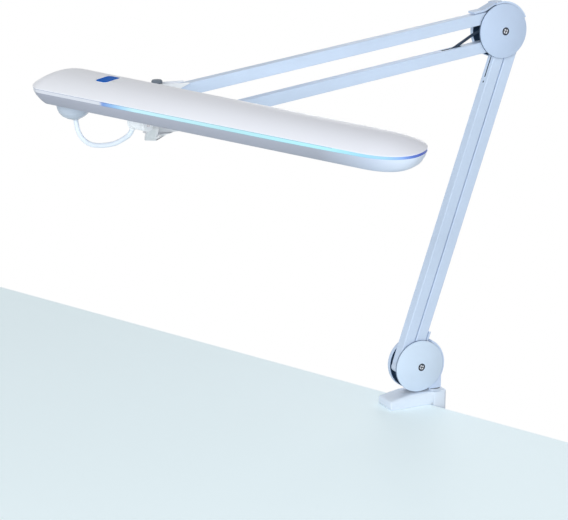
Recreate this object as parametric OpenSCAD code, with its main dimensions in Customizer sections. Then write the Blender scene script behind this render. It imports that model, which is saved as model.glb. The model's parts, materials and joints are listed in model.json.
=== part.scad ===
// Desk lamp on a screw clamp: two arms of parallel square tubes, each held
// between round side discs, and a slim boat-shaped head with an edge-lit rim.
// Millimetres, +Z up. The origin is on the table face of the clamp's upper jaw,
// on the axis of the clamp screw. The arms work in the X-Z plane at Y = 0.

/* [Clamp] */
// Width of both jaws across the arm plane
jaw_w = 33; // [28:1:40]
// Upper jaw from its end face to the screw axis
jaw_front = 28; // [22:1:34]
// Thickness of the upper jaw at its end
jaw_tip_h = 11; // [9:1:14]
// Thickness of the upper jaw from the screw to the column
jaw_h = 16; // [15:1:22]
// Edge rounding along the top of the jaw
jaw_round = 4; // [2:0.5:5]
// Screw axis to the front of the column
throat_depth = 30; // [26:1:45]
// Clear height between the jaws
throat_h = 65; // [60:1:80]
// Thickness of the column along X
column_t = 22; // [20:1:28]
// Width of the column along Y
column_w = 38; // [34:1:44]
// Height of the lower jaw
lower_jaw_h = 19; // [16:1:24]
// Lower jaw from the screw axis to its end
lower_jaw_front = 12; // [10:1:20]
// Thickness of the table top held at rest
table_t = 8; // [6:1:20]
// Radius of the clamp screw
screw_r = 4; // [3:0.5:5]
// Radius of the pressure pad
pad_r = 12; // [9:1:15]
// Thickness of the rubber face of the pad
pad_rubber_t = 1.5; // [1:0.5:3]
// Thickness of the metal cup of the pad
pad_cup_t = 4; // [3:0.5:6]
// Threaded length below the pad cup
screw_l = 98; // [96:1:130]
// Length of the turning bar
tommy_l = 56; // [40:1:70]
// Radius of the turning bar
tommy_r = 2.5; // [2:0.25:3]

/* [Swivel] */
// Radius of the raised seat on the column
seat_r = 10; // [9:0.5:11]
// Height of the raised seat
seat_h = 0.5; // [0.5:0.5:3]
// Flange of the plastic bush on the seat
bush_flange_t = 0.5; // [0.5:0.5:2]
// Outer radius of the bush in the column
bush_r = 8; // [7.5:0.25:8.5]
// Length of the bush in the column
bush_l = 22; // [16:1:30]
// Radius of the hollow swivel spindle
spindle_r = 6; // [5.5:0.25:6.5]
// Radius of the cord hole through the spindle and column
cord_hole_r = 3.75; // [3.5:0.25:4.5]
// Thickness of the spindle's flange under the foot
spindle_flange_t = 0.8; // [0.8:0.1:3]
// Swivel axis to the centre of the base discs
swivel_offset = 25; // [23:1:28]
// Foot of the base strap beyond the swivel axis
foot_reach = 7; // [6.5:0.5:9]

/* [Joint housings] */
// Radius of the round side discs
disc_r = 33; // [32:0.5:36]
// Lowest point of the discs above the jaw
disc_gap = 1.5; // [1:0.5:4]
// Thickness of the front side plate
plate_t = 2.2; // [1.5:0.1:3]
// Wall of the rear drum
drum_wall = 2; // [1.5:0.5:3]
// Depth of the rear drum behind the bars
drum_d = 7; // [7:0.5:16]
// Height of the domed front cap at its centre
cap_h = 6; // [5:0.25:8]
// Height of the cap's straight rim
cap_rim_h = 1.2; // [0.8:0.1:2]
// Wall of the cap
cap_wall = 1.8; // [1.2:0.1:2.4]
// Radius of the head of the cap screw
cap_screw_r = 4.75; // [4:0.25:5.5]
// Thickness of the strap round each housing
strap_t = 2.6; // [2:0.2:3.2]
// Width of the strap, from the front side plate back
strap_w = 19; // [18:0.5:22]
// Length of the strap's flange over the bar
flange_l = 14; // [10:1:20]

/* [Arms] */
// Distance from pivot to pivot on every bar
arm_l = 422; // [300:1:520]
// Side of the square tube
bar_w = 14; // [12:0.5:15]
// Wall of the square tube
bar_wall = 1.2; // [0.8:0.1:2]
// Corner radius of the square tube
bar_corner = 1; // [0.5:0.25:1.5]
// Pivot to the end of the tube
tube_inset = 5; // [4.5:0.5:8]
// Length of the end plug inside the tube
spigot_l = 20; // [12:1:30]
// Radius of the pivot pins
pin_r = 3; // [2.5:0.25:3.5]
// Lower pivots: inner one beside and beyond the disc centre, beside it
pivot_in_x = 7.6; // [7:0.1:8.5]
// Inner lower pivot, along the bar
pivot_in_y = 12; // [11.5:0.25:13]
// Outer lower pivot, along the bar
pivot_out_y = 9; // [7:0.25:9.5]
// Free space between the two lower bars at rest
lower_gap = 1.4; // [1.1:0.1:2]
// Upper pivots from the elbow centre, towards the head
upper_back = 15; // [14:0.5:17]
// Upper pivots, one above the other
upper_spread = 35; // [34:0.5:37]
// Lean of the lower arm from upright
lower_lean = 18.7; // [10:0.1:24]
// Droop of the upper arm below level
upper_droop = 8.9; // [2:0.1:12]

/* [Head joint] */
// Last pivots to the vertical barrel
barrel_back = 15; // [15:0.5:20]
// Outer radius of the barrel
barrel_r = 6.5; // [6:0.25:7]
// Radius of the head's vertical spindle
head_spindle_r = 4; // [3:0.25:4.5]
// Thickness of the bracket's cheeks
cheek_t = 2; // [1.5:0.25:3]
// Radius of the yoke disc under the bracket
yoke_r = 17; // [14:0.5:19]
// Thickness of the yoke disc at its centre
yoke_h = 4.2; // [3.5:0.1:6]
// Reach of the yoke from the swivel to the tilt hinge
yoke_reach = 69; // [64:1:90]
// Direction of the yoke seen from above
yoke_turn = -126.8; // [-132:0.2:-122]
// Rise of the yoke from the disc to the hinge axis
yoke_rise = 21.4; // [20:0.2:30]
// Radius of the yoke's hinge barrel
knuckle_r = 7.5; // [6.5:0.25:8.5]
// Length of the yoke's hinge barrel
knuckle_l = 16; // [12:1:22]
// Radius of the tilt hinge pin
hinge_pin_r = 2.5; // [2:0.25:3]
// Thickness of the hinge ears under the head
ear_t = 4; // [3:0.5:6]
// Hinge axis below the head's underside
hinge_drop = 13; // [12:0.5:18]

/* [Head] */
// Overall length of the head
head_l = 512; // [440:2:600]
// Width of the head at mid length
head_w = 68.6; // [62:0.2:80]
// Narrowing of the width from end to end, as a share of the width
head_taper = 0.25; // [0:0.01:0.3]
// Length of the rounded left end
end_left = 29; // [24:1:40]
// Length of the rounded right end
end_right = 54; // [40:1:70]
// Roundness of the ends
end_power = 2.3; // [2:0.1:2.8]
// Height of the crown of the cover
crown_h = 10; // [7:0.5:13]
// Wall of the cover
cover_t = 2; // [1.5:0.1:2.5]
// Height of the clear rim
rim_h = 4.7; // [3.5:0.1:6]
// Width of the clear rim, seen from above
rim_w = 7; // [5:0.5:9]
// Depth of the tray below the top of the rim
tray_depth = 18.8; // [17:0.2:24]
// Slope of the tray's long sides
side_inset = 8.2; // [5:0.2:10]
// Slope of the tray's ends
end_inset = 15.5; // [10:0.5:18]
// Wall of the tray
tray_t = 2; // [1.5:0.1:2.5]
// Turn of the head about the vertical
head_yaw = -65.9; // [-70:0.1:-60]
// Right end of the head down
head_pitch = 2.5; // [0:0.1:4]
// Far side of the head up
head_roll = 9.3; // [4:0.1:12]
// Tilt hinge from the left end of the head
hinge_end = 141; // [135:1:160]
// Button from the left end of the head
button_end = 94; // [86:1:98]
// Button off the head's centre line
button_n = 4; // [0:0.5:6]
// Button along the head
button_l = 16; // [12:0.5:18]
// Button across the head
button_w = 20.5; // [14:0.5:24]
// Travel of the button
button_travel = 1.5; // [1:0.1:2]
// Cord cap from the left end of the head
gland_end = 38; // [36:1:44]
// Radius of the cord cap under the head
gland_r = 19.5; // [15:0.5:21]
// Height of the cord cap
gland_h = 25; // [18:0.5:28]
// Tilt hinge to the diffuser's window
window_start = 45; // [45:1:80]
// Window of the diffuser to the right end of the head
window_end = 56; // [51:1:106]
// Width of the diffuser window
window_w = 34; // [24:1:36]
// Thickness of the diffuser
diffuser_t = 2; // [1.5:0.25:3]

/* [Cord] */
// Diameter of the cord
cord_d = 5.5; // [5:0.1:6]
// Diameter of the thinner cord inside the arms
inner_cord_d = 3.6; // [3:0.2:5]
// Mean radius of the put-away coil
coil_mean_r = 33; // [32.5:0.5:34]
// Turns of the coil in each of its two layers
coil_turns = 3.5; // [1.5:1:3.5]
// Free space between neighbouring turns
coil_gap = 0.5; // [0.5:0.05:1]
// Length of the strain relief behind the column
relief_l = 30; // [20:1:40]
// Length of the plug
plug_l = 38; // [30:1:45]

/* [Hidden] */

// Clearances: between moving faces, of a pin that turns, of a pin that is
// pressed in, and of the open pivots that close the two parallelograms.
run_gap = 0.3;
run_fit = 0.05;
press_fit = 0.01;
open_fit = 0.25;
slip = 0.1;

// Heights and places of the clamp
column_x = throat_depth;
swivel_x = column_x + column_t / 2;
lower_top = -throat_h;
lower_bottom = lower_top - lower_jaw_h;
pad_top = -table_t;
rubber_bottom = pad_top - pad_rubber_t;
pad_bottom = rubber_bottom - pad_cup_t;
screw_bottom = pad_bottom - screw_l;
tommy_boss_r = screw_r + 3;
tommy_boss_h = 14;
tommy_z = screw_bottom + tommy_boss_h / 2;
seat_top = jaw_h + seat_h;
bush_z = seat_top - bush_l;
flange_top = seat_top + bush_flange_t;
spindle_flange_z = flange_top + run_gap;
foot_z = spindle_flange_z + spindle_flange_t;
cord_out_z = -50;

// Housing layers, measured from the arm plane
side_gap = 0.5;
plate_y = bar_w / 2 + side_gap;
plate_front = plate_y + plate_t;
drum_front = plate_y;
drum_back = drum_front + drum_d;
strap_in = disc_r + run_gap;
strap_out = strap_in + strap_t;
strap_back = strap_w - plate_front;
post_r = 4.8;
post_bore = 2;
boss_r = pin_r + 3;

// Places of the discs and pivots in the arm plane, as [x, z]
base = [swivel_x - swivel_offset, jaw_h + disc_gap + disc_r];
pivot_out_x = pivot_in_x + bar_w + lower_gap;
function lean(n, d) = [n * cos(lower_lean) + d * sin(lower_lean), d * cos(lower_lean) - n * sin(lower_lean)];
base_left = lean(-pivot_out_x, -pivot_out_y);
base_right = lean(-pivot_in_x, pivot_in_y);
elbow_left = lean(pivot_in_x, -pivot_in_y);
elbow_right = lean(pivot_out_x, pivot_out_y);
elbow = base + base_left - elbow_left + lean(0, arm_l);
elbow_top = [-upper_back, upper_spread / 2];
elbow_bottom = [-upper_back, -upper_spread / 2];
upper_run = [-arm_l * cos(upper_droop), -arm_l * sin(upper_droop)];
end_top = elbow + elbow_top + upper_run;
end_bottom = elbow + elbow_bottom + upper_run;

// Head joint and head frame
barrel_x = end_top[0] - barrel_back;
yoke_top = end_bottom[1] - bar_w / 2 - 0.8;
bracket_bottom = yoke_top + run_gap;
bracket_top = end_top[1] + bar_w / 2 + 4.2;
roof_t = 2;
cheek_y = bar_w / 2 + side_gap;
spindle_foot = 1.5;
ear_plate_t = 2.5;
hinge = [barrel_x + yoke_reach * cos(yoke_turn), yoke_reach * sin(yoke_turn), yoke_top + yoke_rise];
hinge_s = -head_l / 2 + hinge_end;
button_s = -head_l / 2 + button_end;
gland_s = -head_l / 2 + gland_end;
window_left = hinge_s + window_start;
window_right = head_l / 2 - window_end;
window_l = window_right - window_left;
function turned(p, a) = [p[0] * cos(a) - p[1] * sin(a), p[0] * sin(a) + p[1] * cos(a)];
function head_axis(v) =
    let (rolled = turned([v[1], v[2]], head_roll), pitched = turned([rolled[1], v[0]], head_pitch))
    let (yawed = turned([pitched[1], rolled[0]], head_yaw))
    [yawed[0], yawed[1], pitched[0]];
head_at = hinge - head_axis([hinge_s, 0, -tray_depth - hinge_drop]);

// Outline of the head: straight tapered sides and superellipse ends
spine_left = -head_l / 2 + end_left;
spine_right = head_l / 2 - end_right;
end_steps = 12;
function half_width(s) = head_w / 2 * (1 - head_taper * s / head_l);
function end_reach(a) = pow(max(cos(a), 0), 2 / end_power);
function end_side(a) = pow(max(sin(a), 0), 2 / end_power);
function right_point(a, side, ds, dn) = let (s = spine_right + (end_right - ds) * end_reach(a))
    [s, side * (half_width(s) - dn) * end_side(a)];
function left_point(a, side, ds, dn) = let (s = spine_left - (end_left - ds) * end_reach(a))
    [s, side * (half_width(s) - dn) * end_side(a)];
// One loop of the outline, drawn in by ds at the ends and dn at the sides
function head_loop(ds, dn) = concat(
    [for (i = [0 : end_steps]) right_point(i * 90 / end_steps, 1, ds, dn)],
    [for (i = [0 : end_steps]) left_point(90 - i * 90 / end_steps, 1, ds, dn)],
    [for (i = [1 : end_steps]) left_point(i * 90 / end_steps, -1, ds, dn)],
    [for (i = [0 : end_steps - 1]) right_point(90 - i * 90 / end_steps, -1, ds, dn)]);

// Crown of the cover: shares of the plan size, and the height there
crown_steps = [1, 0.93, 0.82, 0.68, 0.5, 0.3, 0.12];
cover_edge = 0.6;
function crown(g, h) = cover_edge + (h - cover_edge) * (1 - pow(g, 2.2));

// Cord routes, chosen by hand
cord_r = cord_d / 2;
inner_cord_r = inner_cord_d / 2;
head_route = [[-405.5, 40, 386], [-404.5, 40.5, 379.5], [-403, 40, 372.5], [-400.5, 36.5, 366],
    [-397, 31, 361.5], [-393.5, 24, 359.5], [-390, 16.5, 359.5], [-386.5, 8, 360.5], [-383, -1, 362.5],
    [-379.5, -10, 365], [-376.5, -18.5, 368.5], [-373.5, -27, 373], [-371.5, -34, 377],
    [-370, -39, 381.5], [-369.5, -42.5, 386.5]];
arm_route = [[-94, 0, -29], [-86, 0, -27], [-78, 0, -24.5], [-70, 0, -21.5], [-62, 0, -17.5], [-54, 0, -13],
    [-46, 1, -9], [-38, 2, -5], [-30, 2, -1.5], [-22, 2, 1.5], [-15, 2, 3]];
lead_route = [[82, 0, -50], [87, 0, -50], [94, 0, -51], [101, 0, -55], [106, 0, -61], [109, 0, -69],
    [110, 0, -78], [110, 0, -90], [110, 0, -102], [110, 0, -113]];
tail_route = [[116, 0, -124], [116, 0, -136], [116, 0, -148], [116, 0, -160], [116, 0, -172], [116, 0, -184],
    [116, 0, -196], [116, 0, -208], [116, 0, -220], [116, 0, -232], [116, 0, -244], [116, 0, -256]];

// Coil of the lead, hanging behind the column in a plane across the arms
turn_pitch = cord_d + coil_gap;
coil_out_r = coil_mean_r + coil_turns * turn_pitch / 2;
lead_end = lead_route[len(lead_route) - 1];
coil_centre = lead_end + [0, coil_out_r, -cord_d];
coil_rings = 24;
coil_count = 2 * coil_turns * coil_rings;

function unit(v) = v / norm(v);

// A round tube swept along points, with every ring square to the route
module tube(points, r, side, sides = 10) {
    last = len(points) - 1;
    rings = [for (i = [0 : last])
        let (t = unit(points[min(i + 1, last)] - points[max(i - 1, 0)]))
        let (a = unit(cross(side, t)), b = cross(t, a))
        [for (k = [0 : sides - 1]) points[i] + r * (cos(k * 360 / sides) * a + sin(k * 360 / sides) * b)]];
    loft(rings);
}

// A closed solid through loops of points of equal count
module loft(rings) {
    n = len(rings[0]);
    last = len(rings) - 1;
    points = [for (ring = rings) for (p = ring) p];
    walls = [for (i = [0 : last - 1]) for (k = [0 : n - 1])
        let (a = i * n + k, b = i * n + (k + 1) % n)
        each [[a, b + n, b], [a, a + n, b + n]]];
    caps = [[for (k = [0 : n - 1]) k], [for (k = [n - 1 : -1 : 0]) last * n + k]];
    polyhedron(points, concat(walls, caps), convexity = 6);
}

module rounded_square(w, h, r) {
    square([w - 2 * r, h], center = true);
    square([w, h - 2 * r], center = true);
    for (x = [-1, 1]) for (y = [-1, 1]) translate([x * (w / 2 - r), y * (h / 2 - r)]) circle(r, $fn = 32);
}

// A cylinder across the arm plane from y0 to y1
module across(p, r, y0, y1, fn = 64) {
    translate([p[0], y1, p[1]]) rotate([90, 0, 0]) cylinder(r = r, h = y1 - y0, $fn = fn);
}

// An outline in the arm plane, as [x, z], from y0 to y1
module slab(y0, y1) {
    translate([0, y1, 0]) rotate([90, 0, 0]) linear_extrude(y1 - y0) children();
}

module at(p) {
    translate([p[0], 0, p[1]]) children();
}

module in_head() {
    translate(head_at) rotate([head_roll, head_pitch, head_yaw]) children();
}

// The clamp

module jaw_section(x, h, w) {
    translate([x, 0, 0]) rotate([90, 0, 90]) linear_extrude(0.01) {
        translate([-w / 2 + jaw_round, h - jaw_round]) circle(jaw_round, $fn = 32);
        translate([w / 2 - jaw_round, h - jaw_round]) circle(jaw_round, $fn = 32);
        translate([-w / 2, 0]) square([w, 1]);
    }
}

module clamp_frame() {
    fillet = 10;
    color("aliceblue")
    difference() {
        union() {
            hull() {
                jaw_section(-jaw_front, jaw_tip_h, jaw_w);
                jaw_section(0, jaw_h, jaw_w);
                jaw_section(column_x - 8, jaw_h, jaw_w);
            }
            hull() {
                jaw_section(column_x - 8, jaw_h, jaw_w);
                jaw_section(column_x + 2, jaw_h, column_w);
            }
            translate([column_x + column_t / 2, 0, lower_bottom])
                linear_extrude(jaw_h - lower_bottom) rounded_square(column_t, column_w, 5);
            slab(-jaw_w / 2, jaw_w / 2) {
                polygon([[-lower_jaw_front, lower_top], [column_x + 1, lower_top],
                    [column_x + 1, lower_bottom], [column_x - 8, lower_bottom],
                    [-lower_jaw_front, lower_bottom + 5]]);
                difference() {
                    translate([column_x - fillet, lower_top - 1]) square([fillet + 1, fillet + 1]);
                    translate([column_x - fillet, lower_top + fillet]) circle(fillet, $fn = 64);
                }
                difference() {
                    translate([column_x - fillet, -fillet]) square([fillet + 1, fillet + 1]);
                    translate([column_x - fillet, -fillet]) circle(fillet, $fn = 64);
                }
            }
            translate([swivel_x, 0, jaw_h - 1]) cylinder(r = seat_r, h = seat_h + 1, $fn = 96);
        }
        translate([0, 0, lower_bottom - 1]) cylinder(r = screw_r + run_fit, h = lower_jaw_h + 2, $fn = 64);
        translate([swivel_x, 0, bush_z]) cylinder(r = bush_r + press_fit, h = bush_l + 1, $fn = 64);
        translate([swivel_x, 0, cord_out_z]) {
            cylinder(r = cord_hole_r, h = bush_z - cord_out_z + 1, $fn = 48);
            rotate([0, 90, 0]) cylinder(r = cord_hole_r, h = column_t, $fn = 48);
        }
    }
}

module swivel_bush() {
    color("dimgray")
    difference() {
        union() {
            translate([swivel_x, 0, bush_z + slip]) cylinder(r = bush_r, h = bush_l, $fn = 64);
            translate([swivel_x, 0, seat_top]) cylinder(r = seat_r, h = bush_flange_t, $fn = 96);
        }
        translate([swivel_x, 0, bush_z - 1]) cylinder(r = spindle_r + run_fit, h = bush_l + 5, $fn = 64);
    }
}

// Tapered sleeve round the lead, pressed against the back of the column
module strain_relief() {
    color("whitesmoke")
    translate([column_x + column_t, 0, cord_out_z]) rotate([0, 90, 0])
        rotate_extrude($fn = 48)
            polygon([[cord_r + slip, 0], [7, 0], [7, 3], [5.5, 4], [4.6, relief_l - 1], [4, relief_l],
                [cord_r + slip, relief_l]]);
}

module clamp_pad() {
    color("silver")
    difference() {
        union() {
            translate([0, 0, pad_bottom]) cylinder(r = pad_r, h = pad_cup_t, $fn = 96);
            translate([0, 0, pad_bottom - 4]) cylinder(r = screw_r + 3, h = 5, $fn = 64);
        }
        translate([0, 0, pad_bottom - 5]) cylinder(r = screw_r + press_fit, h = 7, $fn = 64);
    }
}

module pad_rubber() {
    color("dimgray") translate([0, 0, rubber_bottom]) cylinder(r = pad_r, h = pad_rubber_t, $fn = 96);
}

module clamp_screw() {
    color("silver")
    difference() {
        union() {
            translate([0, 0, screw_bottom]) {
                cylinder(r = screw_r, h = screw_l + 1.9, $fn = 64);
                cylinder(r = tommy_boss_r, h = tommy_boss_h, $fn = 64);
            }
        }
        translate([0, -tommy_boss_r - 1, tommy_z]) rotate([-90, 0, 0])
            cylinder(r = tommy_r + press_fit, h = 2 * tommy_boss_r + 2, $fn = 48);
    }
}

module tommy_bar() {
    color("silver")
    translate([0, -tommy_l / 2, tommy_z]) rotate([-90, 0, 0]) cylinder(r = tommy_r, h = tommy_l, $fn = 48);
}

module tommy_knobs() {
    color("dimgray")
    for (side = [-1, 1])
        translate([0, side * tommy_l / 2, tommy_z]) rotate([-90 * side, 0, 0])
            rotate_extrude($fn = 48)
                polygon([[0, 0], [4.5, 0], [5, 1], [5, 4], [3.5, 6], [0, 6.5]]);
}

// Joint housings. The base and the elbow share one set of pieces, drawn
// about the disc's centre; pins is the list of pivots as [x, z].

module housing_drum(pins) {
    drum_round = 3;
    difference() {
        union() {
            rotate([-90, 0, 0]) rotate_extrude($fn = 128) difference() {
                union() {
                    translate([0, drum_front]) square([disc_r, drum_d - drum_round]);
                    translate([0, drum_front]) square([disc_r - drum_round, drum_d]);
                    translate([disc_r - drum_round, drum_back - drum_round]) circle(drum_round, $fn = 48);
                }
                translate([-1, drum_front - 1]) square([disc_r - drum_wall + 1, drum_d - drum_wall + 1]);
            }
            across([0, 0], post_r, -plate_y, drum_back - 0.5);
            for (p = pins) across(p, boss_r, drum_front - 0.2, drum_back - 0.5);
        }
        across([0, 0], post_bore, -plate_y - 1, drum_back - 4, 32);
        for (p = pins) across(p, pin_r + press_fit, drum_front - 1, drum_back - drum_wall - 0.5, 48);
    }
}

module housing_plate(pins) {
    difference() {
        across([0, 0], disc_r, -plate_front, -plate_y, 128);
        across([0, 0], post_bore + 0.1, -plate_front - 1, -plate_y + 1, 32);
        for (p = pins) across(p, pin_r + press_fit, -plate_front - 1, -plate_y + 1, 48);
    }
}

module housing_cap() {
    rise = cap_h - cap_rim_h;
    dome_r = (disc_r * disc_r + rise * rise) / (2 * rise);
    dimple_r = 7.5;
    translate([0, -plate_front, 0]) rotate([90, 0, 0]) rotate_extrude($fn = 128)
        difference() {
            intersection() {
                translate([0, cap_h - dome_r]) circle(dome_r, $fn = 256);
                polygon([[0, 0], [disc_r, 0], [disc_r, 0.8], [disc_r - 0.7, 2.2], [disc_r - 3, 4], [0, 10]]);
            }
            difference() {
                intersection() {
                    translate([0, cap_h - dome_r]) circle(dome_r - cap_wall, $fn = 256);
                    translate([0, -1]) square([disc_r - 2, 12]);
                }
                translate([0, -1]) square([cap_screw_r + 2.4, 12]);
            }
            translate([0, cap_h + dimple_r - 2.2]) circle(dimple_r, $fn = 64);
            translate([0, -1]) square([post_bore + 0.1, 20]);
            translate([0, cap_h - 2.6]) square([cap_screw_r + slip, 5]);
        }
}

module housing_screw() {
    head_y = -plate_front - cap_h + 2.6;
    head_h = 2.2;
    cut = 1.1;
    difference() {
        union() {
            across([0, 0], cap_screw_r, head_y - head_h, head_y, 64);
            across([0, 0], post_bore - slip, head_y, drum_back - 6, 32);
        }
        for (turn = [20, 110])
            rotate([0, turn, 0]) translate([-cap_screw_r * 0.62, head_y - head_h - 1, -cut / 2])
                cube([cap_screw_r * 1.24, 2.4, cut]);
    }
}

module housing_pins(pins) {
    for (p = pins) across(p, pin_r, -plate_front, drum_back - drum_wall - 0.6, 48);
}

// Strap bent round the disc, from one angle to the other, as an outline
module strap_ring(from, to) {
    reach = 3 * strap_out;
    difference() {
        circle(strap_out, $fn = 128);
        circle(strap_in, $fn = 128);
        polygon(concat([[0, 0]], [for (a = [to : 15 : from + 360]) reach * [cos(a), sin(a)]],
            [reach * [cos(from), sin(from)]]));
    }
}

// Flange that stops a bar: it lies over the bar's face at p, runs along it
// away from the disc, and a ramp joins it to the ring's end at the angle a
module strap_flange(p, along, out, a) {
    stop_gap = 1;
    ramp_lap = 4;
    start = p + stop_gap * out;
    root = [cos(a - ramp_lap), sin(a - ramp_lap)];
    difference() {
        polygon([start, start + flange_l * along, start + flange_l * along + strap_t * out,
            start + strap_t * out, strap_out * root, strap_in * root]);
        circle(strap_in, $fn = 128);
    }
}

base_pivots = [base_left, base_right];
elbow_pivots = [elbow_left, elbow_right, elbow_top, elbow_bottom];

module base_strap() {
    top_angle = 90 - lower_lean - 12;
    // Face of the right bar where it leaves the disc
    face = base_right + lean(bar_w / 2, disc_r - pivot_in_y - 2);
    foot_h = 24;
    color("aliceblue")
    at(base) difference() {
        union() {
            slab(-plate_front, strap_back) strap_ring(-52, top_angle);
            slab(-bar_w / 2, bar_w / 2) strap_flange(face, lean(0, 1), lean(1, 0), top_angle);
            difference() {
                translate([swivel_offset - seat_r, -plate_front, foot_z - base[1]])
                    cube([seat_r + foot_reach, strap_w, foot_h]);
                across([0, 0], strap_in, -plate_front - 1, strap_back + 1, 128);
            }
        }
        translate([swivel_offset, 0, -disc_r - 20]) cylinder(r = cord_hole_r, h = disc_r + 18, $fn = 48);
    }
}

module base_spindle() {
    shaft_z = bush_z + 2;
    color("silver")
    difference() {
        union() {
            translate([swivel_x, 0, spindle_flange_z])
                cylinder(r = seat_r - 0.5, h = spindle_flange_t, $fn = 96);
            translate([swivel_x, 0, shaft_z])
                cylinder(r = spindle_r, h = foot_z - spindle_flange_t / 2 - shaft_z, $fn = 64);
        }
        translate([swivel_x, 0, bush_z]) cylinder(r = cord_hole_r, h = bush_l + 10, $fn = 48);
    }
}

module base_drum() {
    color("aliceblue") at(base) housing_drum(base_pivots);
}

module base_plate() {
    color("aliceblue") at(base) housing_plate(base_pivots);
}

module base_cap() {
    color("aliceblue") at(base) housing_cap();
}

module base_screw() {
    color("silver") at(base) housing_screw();
}

module base_pins() {
    color("silver") at(base) housing_pins(base_pivots);
}

module elbow_strap() {
    top_angle = 108;
    along = [-cos(upper_droop), -sin(upper_droop)];
    out = [-sin(upper_droop), cos(upper_droop)];
    // Face of the top bar, 2 mm from where it leaves the disc
    face_h = elbow_top * out + bar_w / 2;
    leave = sqrt(strap_in * strap_in - face_h * face_h) + 2;
    face = face_h * out + leave * along;
    color("aliceblue")
    at(elbow) {
        slab(-plate_front, strap_back) strap_ring(26, top_angle);
        slab(-bar_w / 2, bar_w / 2) strap_flange(face, along, out, top_angle);
    }
}

module elbow_drum() {
    color("aliceblue") at(elbow) housing_drum(elbow_pivots);
}

module elbow_plate() {
    color("aliceblue") at(elbow) housing_plate(elbow_pivots);
}

module elbow_cap() {
    color("aliceblue") at(elbow) housing_cap();
}

module elbow_screw() {
    color("silver") at(elbow) housing_screw();
}

module elbow_pins() {
    color("silver") at(elbow) housing_pins(elbow_pivots);
}

// Bars, drawn along X from one pivot at 0 to the other at arm_l

module bar_tube() {
    inner = bar_w - 2 * bar_wall;
    translate([tube_inset, 0, 0]) rotate([90, 0, 90]) linear_extrude(arm_l - 2 * tube_inset)
        difference() {
            rounded_square(bar_w, bar_w, bar_corner);
            square([inner, inner], center = true);
        }
}

// End plug with its pivot bore; fit is the radial clearance on the pin
module bar_plug(fit) {
    nose = bar_w - 1;
    spigot = bar_w - 2 * bar_wall - 2 * slip;
    difference() {
        union() {
            difference() {
                across([0, 0], nose / 2, -nose / 2, nose / 2);
                translate([tube_inset, -nose, -nose]) cube(2 * nose);
            }
            translate([0, -nose / 2, -nose / 2]) cube([tube_inset, nose, nose]);
            translate([tube_inset - 1, -spigot / 2, -spigot / 2]) cube([spigot_l + 1, spigot, spigot]);
        }
        across([0, 0], pin_r + fit, -bar_w, bar_w, 48);
    }
}

module bar_plugs(fit_start, fit_end) {
    bar_plug(fit_start);
    translate([arm_l, 0, 0]) mirror([1, 0, 0]) bar_plug(fit_end);
}

module on_lower(p) {
    at(base + p) rotate([0, lower_lean - 90, 0]) children();
}

module on_upper(p) {
    at(elbow + p) rotate([0, -180 - upper_droop, 0]) children();
}

// The left lower bar has a slot and a small hole near its top, for the cord
module left_bar() {
    slot_l = 31;
    slot_w = 2;
    slot_end = 16;
    hole_end = 53;
    hole_r = 1.3;
    color("lightsteelblue")
    on_lower(base_left) difference() {
        bar_tube();
        translate([arm_l - slot_end - slot_l, -slot_w / 2, bar_w / 2 - bar_wall - 1])
            cube([slot_l, slot_w, bar_wall + 2]);
        translate([arm_l - hole_end, 0, 0]) cylinder(r = hole_r, h = bar_w, $fn = 32);
    }
}

module left_bar_plugs() {
    color("gainsboro") on_lower(base_left) bar_plugs(run_fit, run_fit);
}

module left_bar_cord() {
    inner = bar_w / 2 - bar_wall;
    start = tube_inset + spigot_l + 2;
    color("whitesmoke")
    on_lower(base_left) translate([start, 0, inner_cord_r - inner + 0.02]) rotate([0, 90, 0])
        cylinder(r = inner_cord_r, h = arm_l - 2 * start, $fn = 24);
}

module right_bar() {
    color("lightsteelblue") on_lower(base_right) bar_tube();
}

module right_bar_plugs() {
    color("gainsboro") on_lower(base_right) bar_plugs(run_fit, open_fit);
}

module top_bar() {
    color("lightsteelblue") on_upper(elbow_top) bar_tube();
}

module top_bar_plugs() {
    color("gainsboro") on_upper(elbow_top) bar_plugs(run_fit, run_fit);
}

// The lower one of the upper bars lets the cord out through its top wall
module bottom_bar() {
    slot_start = 38;
    slot_l = 28;
    slot_w = inner_cord_d + 1;
    color("lightsteelblue")
    on_upper(elbow_bottom) difference() {
        bar_tube();
        translate([slot_start, -slot_w / 2, -bar_w]) cube([slot_l, slot_w, bar_w - 4]);
    }
}

module bottom_bar_plugs() {
    color("gainsboro") on_upper(elbow_bottom) bar_plugs(run_fit, open_fit);
}

module arm_cord() {
    color("slategray") at(elbow) tube(arm_route, inner_cord_r, [0, 1, 0], 8);
}

// The bracket at the end of the upper arm, with the vertical barrel

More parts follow.
